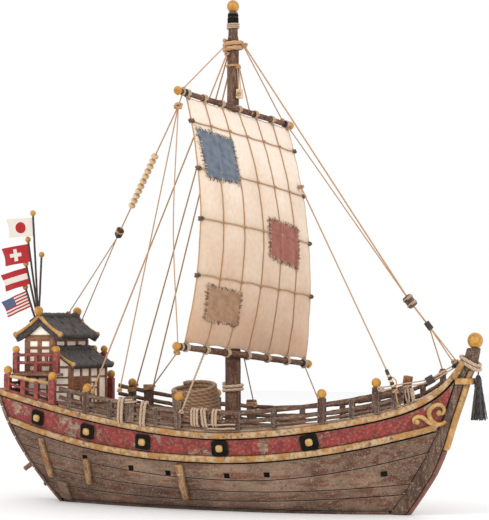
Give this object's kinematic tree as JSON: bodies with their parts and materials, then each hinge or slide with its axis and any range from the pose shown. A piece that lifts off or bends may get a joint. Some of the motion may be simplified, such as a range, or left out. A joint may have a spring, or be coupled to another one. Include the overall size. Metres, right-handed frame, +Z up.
{
  "type": "model sailing ship",
  "caption": "Decorative wooden model of a square-rigged trading ship with a planked hull, railed deck, stern castle, mast, two yards and a patched sail.",
  "frame": {"origin": "on the flat underside of the bottom plank, straight below the mast's axis", "axes": "+X to the bow, +Y to port, +Z up along the mast"},
  "size_m": [0.4625, 0.1856, 0.457],
  "materials": {
    "worn_wood": "weathered, open grain",
    "deck_wood": "weathered boards",
    "red_paint": "worn red paint",
    "gold_paint": "worn matt gold paint",
    "dark_wood": "dark stain, matt",
    "sailcloth": "woven, soft",
    "rope": "laid fibre",
    "black_fringe": "matt fringe",
    "roof_shingle": "matt charcoal paint",
    "wall_panel": "cream panels in brown lattice",
    "flag_cloth": "matt woven cloth"
  },
  "bodies": {
    "hull": {"bottom_plank": "worn_wood", "strake_1_port": "worn_wood", "strake_1_starboard": "worn_wood", "strake_2_port": "worn_wood", "strake_2_starboard": "worn_wood", "strake_3_port": "worn_wood", "strake_3_starboard": "worn_wood", "strake_4_port": "worn_wood", "strake_4_starboard": "worn_wood", "transom": "worn_wood", "stem": "worn_wood", "bow_bollard": "worn_wood", "fence_port": "worn_wood", "fence_starboard": "worn_wood", "mast": "worn_wood", "veranda": "worn_wood", "deck": "deck_wood", "red_strake_port": "red_paint", "red_strake_starboard": "red_paint", "stern_fence": "red_paint", "veranda_fence": "red_paint", "stem_shoe": "red_paint", "lower_wale_port": "gold_paint", "lower_wale_starboard": "gold_paint", "upper_wale_port": "gold_paint", "upper_wale_starboard": "gold_paint", "stem_trim": "gold_paint", "stem_band": "gold_paint", "stem_ball": "gold_paint", "mast_ball": "gold_paint", "flag_staffs": "dark_wood", "stem_lashing": "rope", "mast_collar": "rope", "rope_coil": "rope", "forestay": "rope", "shroud_port_aft": "rope", "shroud_port_fore": "rope", "shroud_starboard": "rope", "tassel": "black_fringe", "upper_roof": "roof_shingle", "lower_roof": "roof_shingle", "upper_house": "wall_panel", "lower_house": "wall_panel", "flag_1": "flag_cloth", "flag_2": "flag_cloth", "flag_3": "flag_cloth", "flag_4": "flag_cloth"},
    "rig": {"upper_yard": "dark_wood", "lower_yard": "dark_wood", "sail": "sailcloth", "upper_parrel": "rope", "lower_parrel": "rope"}
  },
  "joints": [
    {"name": "yards_swing", "type": "hinge", "parent": "hull", "child": "rig", "pos_m": [0, 0, 0.136], "axis": [0, 0, 1], "range_deg": [-10, 10]}
  ]
}
